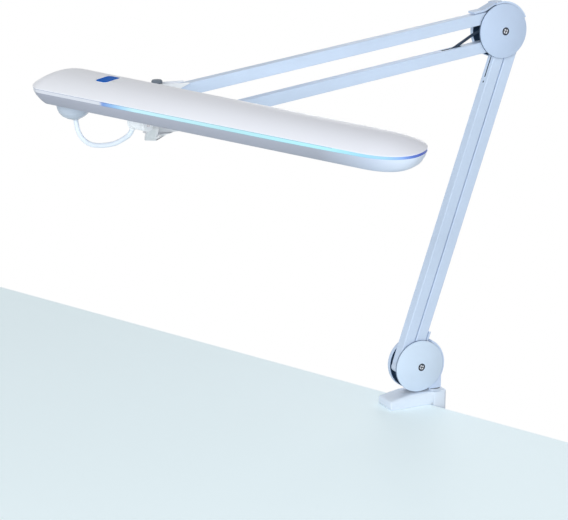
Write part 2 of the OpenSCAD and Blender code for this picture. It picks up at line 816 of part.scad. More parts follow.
module end_bracket() {
    cheek_out = cheek_y + cheek_t;
    right = end_top[0] + 9;
    tongue_l = 11;
    web_t = 6;
    // The roof ends short of the bars, which stand up steeply in the
    // bracket when the arm is folded down
    roof_end = end_top[0] - bar_w / 2 - 2.2;
    color("aliceblue")
    difference() {
        union() {
            for (y = [-cheek_out, cheek_y])
                slab(y, y + cheek_t)
                    polygon([[barrel_x, bracket_bottom], [right - 4, bracket_bottom],
                        [right, bracket_bottom + 5], [right, bracket_top - 6],
                        [right + tongue_l, bracket_top - 1], [right + tongue_l, bracket_top],
                        [barrel_x, bracket_top]]);
            translate([barrel_x, -cheek_out, bracket_top - roof_t])
                cube([roof_end - barrel_x, 2 * cheek_out, roof_t]);
            translate([barrel_x, 0, bracket_bottom])
                cylinder(r = barrel_r, h = bracket_top - bracket_bottom, $fn = 64);
            translate([barrel_x - web_t / 2, -cheek_out, bracket_bottom])
                cube([web_t, 2 * cheek_out, bracket_top - bracket_bottom]);
        }
        translate([barrel_x, 0, bracket_bottom - 1])
            cylinder(r = head_spindle_r + run_fit, h = bracket_top + 2 - bracket_bottom, $fn = 64);
        for (p = [end_top, end_bottom]) across(p, pin_r + press_fit, -2 * bar_w, 2 * bar_w, 48);
    }
}

module end_pins() {
    reach = cheek_y + cheek_t + 1;
    color("silver")
    for (p = [end_top, end_bottom]) {
        across(p, pin_r, -reach, reach, 48);
        across(p, pin_r + 1.5, -reach - 1.2, -reach + 1, 48);
        across(p, pin_r + 1.5, reach - 1, reach + 1.2, 48);
    }
}

// Dark cap screwed on the spindle's top end; it keeps the spindle in the barrel
module barrel_cap() {
    color("slategray")
    translate([barrel_x, 0, bracket_top + run_gap]) rotate_extrude($fn = 64)
        polygon([[0, 3], [head_spindle_r - 0.5, 3], [head_spindle_r - 0.5, 0], [6.2, 0], [6.2, 2.6],
            [5, 4], [0, 4.6]]);
}

module head_spindle() {
    foot = yoke_top - spindle_foot;
    neck_l = 2.9;
    color("silver")
    difference() {
        translate([barrel_x, 0, foot])
            cylinder(r = head_spindle_r, h = bracket_top + run_gap + neck_l - foot, $fn = 64);
        difference() {
            translate([barrel_x, 0, bracket_top + run_gap])
                cylinder(r = head_spindle_r + 1, h = 10, $fn = 64);
            translate([barrel_x, 0, bracket_top]) cylinder(r = head_spindle_r - 0.6, h = 20, $fn = 64);
        }
    }
}

// The yoke: a dished disc under the bracket, and an arm that runs out flat,
// then climbs to the tilt hinge and meets it square to its pin
module yoke() {
    arm_w = 13;
    flat_reach = 29;
    climb_reach = 20;
    climb_end = hinge + [climb_reach * cos(head_yaw + 90), climb_reach * sin(head_yaw + 90), -9];
    color("white")
    difference() {
        union() {
            translate([barrel_x, 0, yoke_top - yoke_h]) rotate_extrude($fn = 96)
                intersection() {
                    translate([0, 37]) circle(37, $fn = 192);
                    square([yoke_r, yoke_h]);
                }
            hull() {
                translate([barrel_x, 0, yoke_top - 3.6]) cylinder(r = 9, h = 3.6, $fn = 32);
                yoke_bend(flat_reach, arm_w);
            }
            hull() {
                yoke_bend(flat_reach, arm_w);
                translate(climb_end) rotate([0, 0, head_yaw])
                    translate([-arm_w / 2, -2, 0]) cube([arm_w, 4, 7]);
            }
            hull() {
                translate(climb_end) rotate([0, 0, head_yaw])
                    translate([-arm_w / 2, -2, 0]) cube([arm_w, 4, 7]);
                translate(hinge) rotate([0, 0, head_yaw]) translate([-arm_w / 2, 2, -knuckle_r + 1])
                    cube([arm_w, 2, 7]);
            }
            in_hinge() translate([-knuckle_l / 2, 0, 0]) rotate([0, 90, 0])
                cylinder(r = knuckle_r, h = knuckle_l, $fn = 64);
        }
        translate([barrel_x, 0, yoke_top - spindle_foot])
            cylinder(r = head_spindle_r + press_fit, h = spindle_foot + 1, $fn = 64);
        in_hinge() translate([-knuckle_l, 0, 0]) rotate([0, 90, 0])
            cylinder(r = hinge_pin_r + run_fit, h = 2 * knuckle_l, $fn = 48);
    }
}

// Section of the yoke's arm where it stops being flat
module yoke_bend(reach, w) {
    translate([barrel_x, 0, yoke_top - 4.4]) rotate([0, 0, yoke_turn])
        translate([reach, -w / 2, 0]) cube([3, w, 4.2]);
}

// The tilt hinge's own frame: X along the head, Z square to its underside
module in_hinge() {
    in_head() translate([hinge_s, 0, -tray_depth - hinge_drop]) children();
}

module hinge_ears() {
    gap = knuckle_l / 2 + run_gap;
    socket_x = -gap - ear_t - 0.8;
    trim = 10;
    plate_x = gap + ear_t;
    color("white")
    in_hinge() difference() {
        union() {
            translate([-plate_x - 3, -13, hinge_drop - ear_plate_t]) cube([2 * plate_x + 6, 26, ear_plate_t]);
            for (x = [-plate_x, gap]) {
                translate([x, 0, 0]) rotate([0, 90, 0]) cylinder(r = knuckle_r, h = ear_t, $fn = 64);
                translate([x, -knuckle_r, 0]) cube([ear_t, 2 * knuckle_r, hinge_drop - 1]);
            }
            // Socket beside the left ear that takes the end of the head's cord
            difference() {
                translate([socket_x, 0, -7.4]) rotate([0, 31, 0])
                    cylinder(r = cord_r + 1.3, h = 12, $fn = 48);
                translate([-gap - 0.2, -trim, -2 * trim]) cube([2 * trim, 2 * trim, 4 * trim]);
            }
        }
        translate([-plate_x - 1, 0, 0]) rotate([0, 90, 0])
            cylinder(r = hinge_pin_r + press_fit, h = 2 * plate_x + 2, $fn = 48);
    }
}

module hinge_pin() {
    l = knuckle_l / 2 + run_gap + ear_t;
    color("silver")
    in_hinge() translate([-l, 0, 0]) rotate([0, 90, 0]) cylinder(r = hinge_pin_r, h = 2 * l, $fn = 48);
}

// The head

tray_top = -rim_h;
switch_w = 14;
switch_h = 12;
tray_bottom = -tray_depth;

function loop_at(ds, dn, z) = [for (p = head_loop(ds, dn)) [p[0], p[1], z]];

module head_tray() {
    slope = (tray_depth - rim_h - tray_t) / (tray_depth - rim_h);
    // The wall bulges between the rim and the flat underside
    waist_s = end_inset * 0.45;
    waist_n = side_inset * 0.55;
    color("lightgray")
    in_head() difference() {
        loft([loop_at(end_inset, side_inset, tray_bottom), loop_at(waist_s, waist_n, tray_bottom + 5),
            loop_at(0.6, 0.6, tray_top)]);
        loft([loop_at(end_inset * slope + tray_t, side_inset * slope + tray_t + 1, tray_bottom + tray_t),
            loop_at(waist_s + tray_t + 1, waist_n + tray_t, tray_bottom + 5 + tray_t),
            loop_at(tray_t + 1, tray_t + 1, tray_top + 1)]);
        translate([window_left, -window_w / 2, tray_bottom - 1]) cube([window_l, window_w, tray_t + 3]);
    }
}

module cover_skin(drop, h) {
    rings = [for (g = crown_steps) [for (p = head_loop(0, 0))
        let (c = min(max(p[0], spine_left), spine_right))
        [c + (p[0] - c) * g, p[1] * g, crown(g, h) - drop]]];
    loft(concat([[for (p = head_loop(0, 0)) [p[0], p[1], -drop - 0.01]]], rings));
}

module head_cover() {
    color("whitesmoke")
    in_head() difference() {
        cover_skin(0, crown_h);
        difference() {
            cover_skin(cover_t, crown_h);
            translate([-head_l, -head_w, -20]) cube([2 * head_l, 2 * head_w, 20]);
        }
        translate([button_s - button_l / 2 - run_gap, button_n - button_w / 2 - run_gap, -1])
            cube([button_l + 2 * run_gap, button_w + 2 * run_gap, 30]);
    }
}

module rim_light() {
    color("paleturquoise")
    in_head() translate([0, 0, -rim_h]) linear_extrude(rim_h - 0.02)
        difference() {
            polygon(head_loop(0, 0));
            polygon(head_loop(rim_w, rim_w));
        }
}

module diffuser() {
    lip = 3;
    color("white")
    in_head() {
        translate([window_left + slip, -window_w / 2 + slip, tray_bottom])
            cube([window_l - 2 * slip, window_w - 2 * slip, tray_t]);
        translate([window_left - lip, -window_w / 2 + 1, tray_bottom + tray_t])
            cube([window_l + 2 * lip, window_w - 2, diffuser_t]);
    }
}

module led_board() {
    board_w = 20;
    board_t = 1.6;
    inset = 4;
    color("honeydew")
    in_head() translate([window_left + inset, -board_w / 2, tray_bottom + tray_t + diffuser_t])
        cube([window_l - 2 * inset, board_w, board_t]);
}

module driver_box() {
    driver_l = 62;
    driver_w = 28;
    driver_h = 11;
    color("dimgray")
    in_head() translate([window_left - 5 - driver_l, -driver_w / 2, tray_bottom + tray_t])
        cube([driver_l, driver_w, driver_h]);
}

module tray_screws() {
    screw_h = 1.2;
    color("silver")
    in_hinge() for (x = [-13.8, 13.8]) for (y = [-10, 10])
        translate([x, y, hinge_drop - ear_plate_t - screw_h]) cylinder(r = 2.2, h = screw_h, $fn = 32);
}

// Mushroom cap under the left end, where the head's own cord leaves it
module cord_cap() {
    color("aliceblue")
    in_head() translate([gland_s, 0, tray_bottom]) rotate([180, 0, 0]) rotate_extrude($fn = 96)
        difference() {
            polygon([[cord_r + slip, 0], [gland_r - 3, 0], [gland_r - 1, 2], [gland_r, 6],
                [gland_r - 0.2, 10], [gland_r - 1.6, 14.5], [gland_r - 4.5, 18.5], [gland_r - 9, 21.8],
                [gland_r - 13.5, gland_h - 1.2], [cord_r + 1.5, gland_h], [cord_r + slip, gland_h]]);
            polygon([[cord_r + 3, 2], [gland_r - 5, 2], [gland_r - 4, 8], [gland_r - 6, 14],
                [gland_r - 11, 19], [cord_r + 3, 20]]);
        }
}

module switch_box() {
    color("dimgray")
    in_head() translate([button_s - switch_w / 2, button_n - switch_w / 2, tray_bottom + tray_t])
        cube([switch_w, switch_w, switch_h]);
}

module button() {
    // The button stands just above the cover, which is lower there than its crown
    top = crown_h + 0.2;
    bottom = tray_bottom + tray_t + switch_h + button_travel + slip;
    color("royalblue")
    in_head() translate([button_s - button_l / 2, button_n - button_w / 2, bottom])
        cube([button_l, button_w, top - bottom]);
}

// Cords

module head_cord() {
    color("whitesmoke") tube(head_route, cord_r, head_axis([0, 1, 0]));
}

module mains_lead() {
    color("whitesmoke") tube(lead_route, cord_r, [0, 1, 0]);
}

module lead_tail() {
    color("whitesmoke") tube(tail_route, cord_r, [0, 1, 0]);
}

// Centre line of the coil: in, across to the second layer, and out again
function coil_u(i) = i / coil_rings;
function coil_r(u) = coil_out_r - min(u, 2 * coil_turns - u) * turn_pitch;
function coil_x(u) = turn_pitch * min(max((u - coil_turns + 0.25) * 2, 0), 1);
function coil_point(i) = let (u = coil_u(i), a = 180 + u * 360, r = coil_r(u))
    [coil_centre[0] + coil_x(u), coil_centre[1] + r * cos(a), coil_centre[2] + r * sin(a)];
coil_line = [for (i = [0 : coil_count]) coil_point(i)];

module lead_coil() {
    sides = 6;
    start = coil_line[0] + [0, 0, cord_d];
    finish = coil_line[coil_count] - [0, 0, cord_d];
    line = concat([start], coil_line, [finish]);
    last = len(line) - 1;
    rings = [for (i = [0 : last])
        let (u = coil_u(min(max(i - 1, 0), coil_count)), a = 180 + u * 360)
        let (out = [0, cos(a), sin(a)])
        [for (k = [0 : sides - 1]) line[i] + cord_r * (cos(k * 60) * out + sin(k * 60) * [1, 0, 0])]];
    color("whitesmoke") loft(rings);
}

// Least distance between turns at least half a turn apart, less the tube
function coil_near(i) = min([for (j = [i + coil_rings / 2 : coil_count]) norm(coil_line[i] - coil_line[j])]);
echo(coil_self_gap = min([for (i = [0 : coil_count - coil_rings]) coil_near(i)]) - cord_d);
echo(coil_length = coil_count * 2 * PI * coil_mean_r / coil_rings);

// Band round the bundle of turns at the bottom of the coil, with its buckle
module coil_tie() {
    band_w = 4;
    band_t = 1.2;
    inner_x = turn_pitch + cord_d + 2 * slip;
    inner_z = coil_turns * turn_pitch + cord_d + 2 * slip;
    color("dimgray")
    translate(coil_centre + [turn_pitch / 2, 0, -coil_mean_r]) {
        difference() {
            cube([inner_x + 2 * band_t, band_w, inner_z + 2 * band_t], center = true);
            cube([inner_x, band_w + 1, inner_z], center = true);
        }
        translate([-3, -band_w / 2 - 0.5, -inner_z / 2 - band_t - 3.5]) cube([6, band_w + 1, 3.6]);
    }
}

tail_end = tail_route[len(tail_route) - 1];

// Flat two-pin plug hanging on the end of the lead
module plug_body() {
    sleeve_l = 12;
    plug_w = 35;
    plug_t = 13.7;
    color("whitesmoke")
    translate(tail_end) {
        translate([0, 0, -sleeve_l]) rotate_extrude($fn = 48)
            polygon([[0, 0], [6, 0], [5.4, 5], [4, sleeve_l], [0, sleeve_l]]);
        hull() {
            translate([0, 0, -sleeve_l]) cylinder(r = 6, h = 1, $fn = 32);
            for (side = [-1, 1])
                translate([0, side * (plug_w - plug_t) / 2, -plug_l])
                    cylinder(r = plug_t / 2, h = plug_l - sleeve_l - 10, $fn = 32);
        }
    }
}

module plug_pins() {
    pin_l = 19;
    pin_gap = 19;
    color("silver")
    for (side = [-1, 1])
        translate(tail_end + [0, side * pin_gap / 2, -plug_l]) rotate([180, 0, 0]) rotate_extrude($fn = 32)
            polygon([[0, 0], [2, 0], [2, pin_l - 1], [1.2, pin_l], [0, pin_l]]);
}

clamp_frame();
swivel_bush();
strain_relief();
clamp_pad();
pad_rubber();
clamp_screw();
tommy_bar();
tommy_knobs();
base_strap();
base_spindle();
base_drum();
base_plate();
base_cap();
base_screw();
base_pins();
left_bar();
left_bar_plugs();
left_bar_cord();
right_bar();
right_bar_plugs();
elbow_strap();
elbow_drum();
elbow_plate();
elbow_cap();
elbow_screw();
elbow_pins();
top_bar();
top_bar_plugs();
bottom_bar();
bottom_bar_plugs();
arm_cord();
end_bracket();
end_pins();
barrel_cap();
yoke();
head_spindle();
head_tray();
head_cover();
rim_light();
diffuser();
led_board();
driver_box();
hinge_ears();
hinge_pin();
tray_screws();
cord_cap();
switch_box();
button();
head_cord();
mains_lead();
lead_coil();
coil_tie();
lead_tail();
plug_body();
plug_pins();
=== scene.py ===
# Looks of the clamp desk lamp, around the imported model. Metres, +Z up; origin under the clamp's upper jaw.
import json
import math

import bmesh
import bpy
from mathutils import Matrix, Vector

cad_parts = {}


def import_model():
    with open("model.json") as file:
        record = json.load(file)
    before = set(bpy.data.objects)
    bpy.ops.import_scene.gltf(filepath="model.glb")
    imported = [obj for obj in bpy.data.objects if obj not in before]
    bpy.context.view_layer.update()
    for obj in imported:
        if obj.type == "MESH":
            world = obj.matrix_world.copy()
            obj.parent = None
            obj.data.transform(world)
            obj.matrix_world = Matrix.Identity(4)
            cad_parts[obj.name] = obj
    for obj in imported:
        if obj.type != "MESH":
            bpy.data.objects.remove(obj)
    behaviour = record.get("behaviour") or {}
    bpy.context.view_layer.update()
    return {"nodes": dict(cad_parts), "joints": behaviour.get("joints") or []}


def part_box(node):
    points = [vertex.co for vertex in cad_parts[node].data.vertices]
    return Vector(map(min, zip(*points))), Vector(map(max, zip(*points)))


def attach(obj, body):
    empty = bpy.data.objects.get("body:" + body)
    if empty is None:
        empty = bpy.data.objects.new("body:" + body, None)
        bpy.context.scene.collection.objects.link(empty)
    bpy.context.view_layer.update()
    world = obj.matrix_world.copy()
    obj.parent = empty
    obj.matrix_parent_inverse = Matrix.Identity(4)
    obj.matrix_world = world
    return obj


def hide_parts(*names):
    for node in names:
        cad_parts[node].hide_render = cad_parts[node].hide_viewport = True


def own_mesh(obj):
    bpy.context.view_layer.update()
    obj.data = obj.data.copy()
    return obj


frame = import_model()
NODES = frame["nodes"]
JOINTS = {joint["name"]: joint for joint in frame["joints"]}
MM = 0.001
X_WAY = Vector((1, 0, 0))
Y_WAY = Vector((0, 1, 0))
Z_WAY = Vector((0, 0, 1))


def mm(*values):
    """A place given in millimetres."""
    return Vector(values) * MM


def pivot(joint):
    """Where a joint is, from the frame."""
    return Vector(JOINTS[joint]["pos_m"])


def disc_centre(cap):
    """The centre of a housing's discs in the arms' plane, from the box of its cap."""
    low_corner, high_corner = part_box(cap)
    return Vector(((low_corner.x + high_corner.x) / 2, 0, (low_corner.z + high_corner.z) / 2))


def clamped(value):
    """The value, held between 0 and 1."""
    return min(max(value, 0), 1)


def add(name, data):
    """A new object in the scene."""
    thing = bpy.data.objects.new(name, data)
    bpy.context.collection.objects.link(thing)
    return thing


# Camera, fitted to the photo's 568 x 520 frame

CAMERA_AT = (-0.9563, -1.6326, 0.6845)
CAMERA_AZIMUTH = math.radians(-25.786)
CAMERA_ELEVATION = math.radians(14.770)
LENS = 100.48
SENSOR_WIDTH = 36.0

camera = add("camera", bpy.data.cameras.new("camera"))
camera.data.lens = LENS
camera.data.sensor_width = SENSOR_WIDTH
camera.data.clip_start = 0.05
camera.data.clip_end = 60.0
back = Vector((
    math.sin(CAMERA_AZIMUTH) * math.cos(CAMERA_ELEVATION),
    -math.cos(CAMERA_AZIMUTH) * math.cos(CAMERA_ELEVATION),
    math.sin(CAMERA_ELEVATION),
))
camera.location = CAMERA_AT
camera.rotation_euler = (-back).to_track_quat("-Z", "Y").to_euler()
bpy.context.scene.camera = camera

# Pivots and centres of the arms, from the frame

LEFT_PIVOT = pivot("lower_arm_lean")
RIGHT_PIVOT = pivot("right_bar_follow")
LOWER_WAY = pivot("elbow_level") - LEFT_PIVOT
TOP_PIVOT = pivot("upper_arm_lift")
BOTTOM_PIVOT = pivot("bottom_bar_follow")
UPPER_WAY = pivot("arm_end_level") - TOP_PIVOT
BASE_CENTRE = disc_centre("base_cap")
ELBOW_CENTRE = disc_centre("elbow_cap")

# Cords

CORD_D = 5.5 * MM
INNER_CORD_D = 3.6 * MM
CORD_SIDES = 16
LINE_STEPS = 4
COIL_MEAN_R = 33.0
COIL_TURNS = 3.5
TURN_PITCH = 6.0
COIL_STEPS = 48
# Share of a turn in which the coil steps over to its second layer
LAYER_STEP = 0.5
TAIL_STEP = 12

LEAD_ROUTE = [(82, 0, -50), (87, 0, -50), (94, 0, -51), (101, 0, -55), (106, 0, -61), (109, 0, -69),
              (110, 0, -78), (110, 0, -90), (110, 0, -102), (110, 0, -113)]
TAIL_ROUTE = [(116, 0, -124 - TAIL_STEP * step) for step in range(12)]
HEAD_ROUTE = [(-405.5, 40, 386), (-404.5, 40.5, 379.5), (-403, 40, 372.5), (-400.5, 36.5, 366),
              (-397, 31, 361.5), (-393.5, 24, 359.5), (-390, 16.5, 359.5), (-386.5, 8, 360.5),
              (-383, -1, 362.5), (-379.5, -10, 365), (-376.5, -18.5, 368.5), (-373.5, -27, 373),
              (-371.5, -34, 377), (-370, -39, 381.5), (-369.5, -42.5, 386.5)]
# The arm's cord is given from the centre of the elbow's discs
ARM_ROUTE = [(-94, 0, -29), (-86, 0, -27), (-78, 0, -24.5), (-70, 0, -21.5), (-62, 0, -17.5), (-54, 0, -13),
             (-46, 1, -9), (-38, 2, -5), (-30, 2, -1.5), (-22, 2, 1.5), (-15, 2, 3)]


def smooth_line(points):
    """A finer line through the points, by the Catmull-Rom rule."""
    points = [Vector(p) for p in points]
    ends = [2 * points[0] - points[1], *points, 2 * points[-1] - points[-2]]
    line = []
    for a, b, c, d in zip(ends, ends[1:], ends[2:], ends[3:]):
        for i in range(LINE_STEPS):
            t = i / LINE_STEPS
            line.append(0.5 * (2 * b + (c - a) * t + (2 * a - 5 * b + 4 * c - d) * t * t
                               + (3 * b - a - 3 * c + d) * t ** 3))
    return [*line, points[-1]]


def coil_line():
    """The put-away coil: it spirals in, steps to the second layer and spirals out again."""
    outer_r = COIL_MEAN_R + COIL_TURNS * TURN_PITCH / 2
    centre = Vector(LEAD_ROUTE[-1]) + Vector((0, outer_r, -CORD_D / MM))
    line = []
    for i in range(int(2 * COIL_TURNS * COIL_STEPS) + 1):
        turn = i / COIL_STEPS
        r = outer_r - min(turn, 2 * COIL_TURNS - turn) * TURN_PITCH
        aside = TURN_PITCH * clamped((turn - COIL_TURNS) / LAYER_STEP + 0.5)
        angle = math.pi + turn * math.tau
        line.append(centre + Vector((aside, r * math.cos(angle), r * math.sin(angle))))
    return line


def cord_curve(name, line, body):
    """One open curve along a line of points in millimetres, with the lead's round section."""
    data = bpy.data.curves.new(name, "CURVE")
    data.dimensions = "3D"
    # The radius of each point is the cord's, because the box of a curve counts it in
    data.bevel_depth = 1.0
    data.bevel_resolution = 5
    data.use_fill_caps = True
    spline = data.splines.new("POLY")
    spline.points.add(len(line) - 1)
    for point, place in zip(spline.points, line):
        point.co = (*mm(*place), 1)
        point.radius = CORD_D / 2
    curve = add(name, data)
    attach(curve, body)
    return curve


lead_points = smooth_line(LEAD_ROUTE)[:-1] + coil_line() + smooth_line(TAIL_ROUTE)
lead = cord_curve("lead", lead_points, "clamp")
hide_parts("mains_lead", "lead_coil", "lead_tail")

loop_points = smooth_line(HEAD_ROUTE)
head_loop = cord_curve("head_loop", loop_points, "head")
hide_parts("head_cord")

# How materials are built. Colours are given as the photo shows them, 0 to 255


def linear(r, g, b):
    """The shader's linear colour for a colour from 0 to 255."""
    def one(v):
        v /= 255
        return v / 12.92 if v <= 0.04045 else ((v + 0.055) / 1.055) ** 2.4
    return (one(r), one(g), one(b), 1)


class Shader:
    """A node material being built: Principled BSDF plus what feeds it."""

    def __init__(self, name):
        self.material = bpy.data.materials.new(name)
        self.material.use_nodes = True
        self.tree = self.material.node_tree
        self.bsdf = self.tree.nodes["Principled BSDF"]
        self.place = self.node("ShaderNodeTexCoord").outputs["Object"]

    def node(self, kind, **settings):
        made = self.tree.nodes.new(kind)
        for key, value in settings.items():
            setattr(made, key, value)
        return made

    def link(self, source, target):
        self.tree.links.new(source, target)

    def feed(self, sockets, values):
        """Sets each socket to its value, or links it where the value is another node's output."""
        for socket, value in zip(sockets, values):
            if isinstance(value, bpy.types.NodeSocket):
                self.link(value, socket)
            else:
                socket.default_value = value

    def set(self, **values):
        for key, value in values.items():
            self.bsdf.inputs[key.replace("_", " ")].default_value = value

    def colour(self, socket):
        self.link(socket, self.bsdf.inputs["Base Color"])

    def math(self, operation, *values):
        node = self.node("ShaderNodeMath", operation=operation)
        self.feed(node.inputs, values)
        return node.outputs["Value"]

    def mix(self, factor, a, b):
        """Colour a where the factor is 0, and b where it is 1."""
        node = self.node("ShaderNodeMix", data_type="RGBA")
        self.link(factor, node.inputs["Factor"])
        # The colour sockets share their names with the other data types' sockets
        self.feed(node.inputs[6:8], (a, b))
        return node.outputs[2]

    def ramp(self, value, stops):
        """A colour ramp; its stops are (position, linear colour)."""
        ramp = self.node("ShaderNodeValToRGB")
        elements = ramp.color_ramp.elements
        while len(elements) < len(stops):
            elements.new(0.5)
        for element, (at, colour) in zip(elements, stops):
            element.position = at
            element.color = colour
        self.link(value, ramp.inputs["Fac"])
        return ramp.outputs["Color"]

    def noise(self, scale, detail=2.0, stretch=(1, 1, 1)):
        mapping = self.node("ShaderNodeMapping")
        mapping.inputs["Scale"].default_value = stretch
        self.link(self.place, mapping.inputs["Vector"])
        noise = self.node("ShaderNodeTexNoise")
        noise.inputs["Scale"].default_value = scale
        noise.inputs["Detail"].default_value = detail
        self.link(mapping.outputs["Vector"], noise.inputs["Vector"])
        return noise.outputs["Fac"]

    def away(self, origin):
        """The way from an origin to the shaded point."""
        node = self.node("ShaderNodeVectorMath", operation="SUBTRACT")
        self.feed(node.inputs, (self.place, origin))
        return node.outputs["Vector"]

    def offset(self, centre):
        """The way from a centre, as X, Y and Z."""
        parts = self.node("ShaderNodeSeparateXYZ")
        self.link(self.away(centre), parts.inputs["Vector"])
        return parts.outputs

    def radius(self, offset):
        """The length of an offset in the X-Z plane."""
        across = self.math("MULTIPLY", offset["X"], offset["X"])
        up = self.math("MULTIPLY", offset["Z"], offset["Z"])
        return self.math("SQRT", self.math("ADD", across, up))

    def along(self, direction, origin, low, high):
        """0 to 1 along a direction, from low to high millimetres past the origin."""
        dot = self.node("ShaderNodeVectorMath", operation="DOT_PRODUCT")
        self.feed(dot.inputs, (self.away(origin), direction))
        span = self.node("ShaderNodeMapRange")
        span.inputs["From Min"].default_value = low * MM
        span.inputs["From Max"].default_value = high * MM
        self.link(dot.outputs["Value"], span.inputs["Value"])
        return span.outputs["Result"]

    def bump(self, height, strength, distance):
        bump = self.node("ShaderNodeBump")
        bump.inputs["Strength"].default_value = strength
        bump.inputs["Distance"].default_value = distance
        self.link(height, bump.inputs["Height"])
        self.link(bump.outputs["Normal"], self.bsdf.inputs["Normal"])

    def mottle(self, base, spread=0.02, scale=35):
        """The base colour with a slight, cloudy change of tone."""
        dark = tuple(v * (1 - spread) for v in base[:3]) + (1,)
        light = tuple(min(v * (1 + spread), 1) for v in base[:3]) + (1,)
        return self.ramp(self.noise(scale), [(0.3, dark), (0.7, light)])

    def roughness(self, low, high, scale):
        span = self.node("ShaderNodeMapRange")
        span.inputs["To Min"].default_value = low
        span.inputs["To Max"].default_value = high
        self.link(self.noise(scale, 3), span.inputs["Value"])
        self.link(span.outputs["Result"], self.bsdf.inputs["Roughness"])

    def skin(self, rough, grain=900, gloss=0.22):
        """The surface of powder coat or moulded plastic: a faint orange peel and a soft sheen."""
        self.roughness(rough - 0.05, rough + 0.05, 60)
        self.bump(self.noise(grain), 0.12, 0.2 * MM)
        self.set(Specular_IOR_Level=gloss)


def coat(name, colour, rough=0.42, grain=900, gloss=0.22):
    """Powder coat or moulded plastic in one colour."""
    shader = Shader(name)
    shader.colour(shader.mottle(linear(*colour)))
    shader.skin(rough, grain, gloss)
    return shader


def turned_steel(name, colour):
    """Bright steel, with fine, level tool marks."""
    shader = Shader(name)
    shader.colour(shader.mottle(linear(*colour), 0.05, 120))
    shader.set(Metallic=1.0)
    shader.roughness(0.19, 0.33, 300)
    shader.bump(shader.noise(700, 2, (1, 1, 8)), 0.1, 0.1 * MM)
    return shader


# Materials of the tubes, housings and screws, with painted shade inside them

TUBE = (205, 222, 245)
# Painted shade on the tubes' inner faces and the cut edges of the cord's slot
TUBE_SHADE = (40, 52, 70)
# From a tube's middle line, where its painted shade goes: its inner faces, and the outer end and the sides of
# the cord's slot
TUBE_INNER = 5.85 * MM
SLOT_OUTER = 6.92 * MM
SLOT_HALF = 2.6 * MM
PALE = (201, 218, 242)
# Painted shade inside each drum, within its inner radius and in front of its back
DRUM_SHADE = (46, 68, 94)
DRUM_INNER_R = 32.3 * MM
DRUM_BACK = 14.2 * MM
SCREW_R = 4.75 * MM
SCREW_FACE_Y = -15.3 * MM
RECESS_SHARE = 0.66
# The screw's face: a painted highlight in the middle, painted shade round its edge and in the cross recess
RECESS_SHADE = (28, 32, 42)
SCREW_LIGHT_AND_SHADE = [(0.0, (236, 240, 246)), (0.56, (226, 230, 238)), (RECESS_SHARE, (66, 74, 88)),
               (1.0, (40, 46, 58))]


def tones(stops):
    """Stops of a ramp, from tones given as colours from 0 to 255."""
    return [(at, linear(*colour)) for at, colour in stops]


def tube_coat(name, start, way):
    """A square tube from its pivot along its way: pale outside, with painted shade inside."""
    shader = Shader(name)
    offset = shader.offset(start)
    way = way.normalized()
    off = shader.math("ADD", shader.math("MULTIPLY", offset["X"], way.z),
                      shader.math("MULTIPLY", offset["Z"], -way.x))
    off = shader.math("ABSOLUTE", off)
    aside = shader.math("ABSOLUTE", offset["Y"])

    def within(high, wide):
        low_enough = shader.math("LESS_THAN", off, high)
        near_enough = shader.math("LESS_THAN", aside, wide)
        return shader.math("MULTIPLY", low_enough, near_enough)

    # The cut edges of the cord's slot get the same painted shade as the inside
    dark = shader.math("MAXIMUM", within(TUBE_INNER, TUBE_INNER), within(SLOT_OUTER, SLOT_HALF))
    shader.colour(shader.mix(dark, shader.mottle(linear(*TUBE)), linear(*TUBE_SHADE)))
    shader.skin(0.38)
    return shader


def screw_look(name, centre):
    """A bright cross-head screw, with a painted highlight on its face and painted shade round its head's edge
    and in the recess.
    """
    shader = Shader(name)
    offset = shader.offset(centre)
    radius = shader.radius(offset)
    face = shader.ramp(shader.math("MULTIPLY", radius, 1 / SCREW_R), tones(SCREW_LIGHT_AND_SHADE))
    below_face = shader.math("GREATER_THAN", offset["Y"], SCREW_FACE_Y + 0.2 * MM)
    near_middle = shader.math("LESS_THAN", radius, SCREW_R * RECESS_SHARE)
    in_recess = shader.math("MULTIPLY", below_face, near_middle)
    shader.colour(shader.mix(in_recess, face, linear(*RECESS_SHADE)))
    shader.set(Metallic=0.75)
    shader.roughness(0.16, 0.3, 300)
    shader.bump(shader.noise(700, 2, (6, 1, 6)), 0.15, 0.1 * MM)
    return shader


def housing_coat(name, centre):
    """The drum: pale outside, with painted shade inside where no light reaches."""
    shader = Shader(name)
    offset = shader.offset(centre)
    inside = shader.math("LESS_THAN", shader.radius(offset), DRUM_INNER_R)
    before_back = shader.math("LESS_THAN", offset["Y"], DRUM_BACK)
    dark = shader.math("MULTIPLY", inside, before_back)
    shader.colour(shader.mix(dark, shader.mottle(linear(*PALE)), linear(*DRUM_SHADE)))
    shader.skin(0.45, gloss=0.12)
    return shader


# What each CAD node is made of, with painted shade in some colours

cord_coat = coat("cord_sheath", (226, 236, 248), 0.4, 1500)
inner_cord = coat("inner_cord", (52, 66, 84), 0.5, 1500)
moulded_white = coat("moulded_white", (244, 248, 253), 0.35)
button_look = coat("button_blue", (8, 98, 196), 0.45, gloss=0.02)

